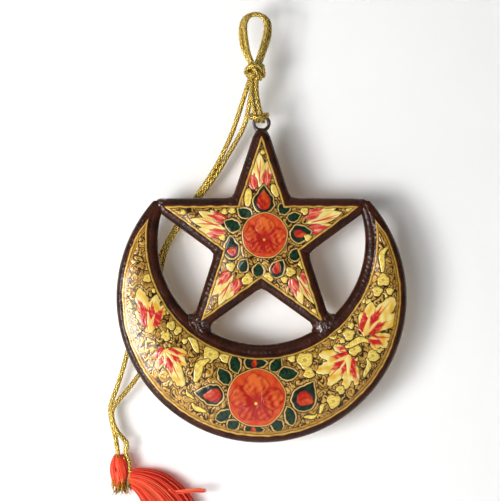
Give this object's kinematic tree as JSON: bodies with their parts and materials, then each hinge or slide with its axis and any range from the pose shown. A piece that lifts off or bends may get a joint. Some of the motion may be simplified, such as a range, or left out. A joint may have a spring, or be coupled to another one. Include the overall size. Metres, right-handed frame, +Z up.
{
  "type": "eid crescent ornament",
  "caption": "Painted paper-pulp crescent with a star glued between its horns, hung by a wire eye on a knotted gold cord whose tails carry a thread tassel.",
  "frame": {"origin": "the hanging point inside the top of the cord loop", "axes": "+Z up, -Y towards the painted front, +X to the right seen from the front"},
  "size_m": [0.1058, 0.0179, 0.1943],
  "materials": {
    "painted_pulp": "gloss lacquer over paint",
    "brown_wire": "satin paint",
    "clear_glue": "gloss",
    "gold_cord": "metallic thread",
    "red_thread": "silky thread"
  },
  "bodies": {
    "cord": {"hanging_loop_front": "gold_cord", "hanging_loop_rear": "gold_cord", "loop_knot": "gold_cord", "eye_hitch": "gold_cord", "tail_cord_long": "gold_cord", "tail_cord_short": "gold_cord"},
    "ornament": {"crescent_front_shell": "painted_pulp", "crescent_back_shell": "painted_pulp", "star_front_shell": "painted_pulp", "star_back_shell": "painted_pulp", "hanging_eye": "brown_wire", "glue_beads": "clear_glue"},
    "tassel": {"tassel_head": "red_thread", "cord_end_side": "gold_cord", "tassel_skirt": "red_thread", "stray_lock": "red_thread", "frayed_ends": "gold_cord"}
  },
  "joints": [
    {"name": "eye_swing", "type": "hinge", "parent": "cord", "child": "ornament", "pos_m": [0.0016, 0, -0.0346], "axis": [0, 1, 0], "range_deg": [-25, 25]},
    {"name": "tassel_swing", "type": "hinge", "parent": "cord", "child": "tassel", "pos_m": [-0.0479, 0.00805, -0.1513], "axis": [1, 0, 0], "range_deg": [-40, 40]}
  ]
}
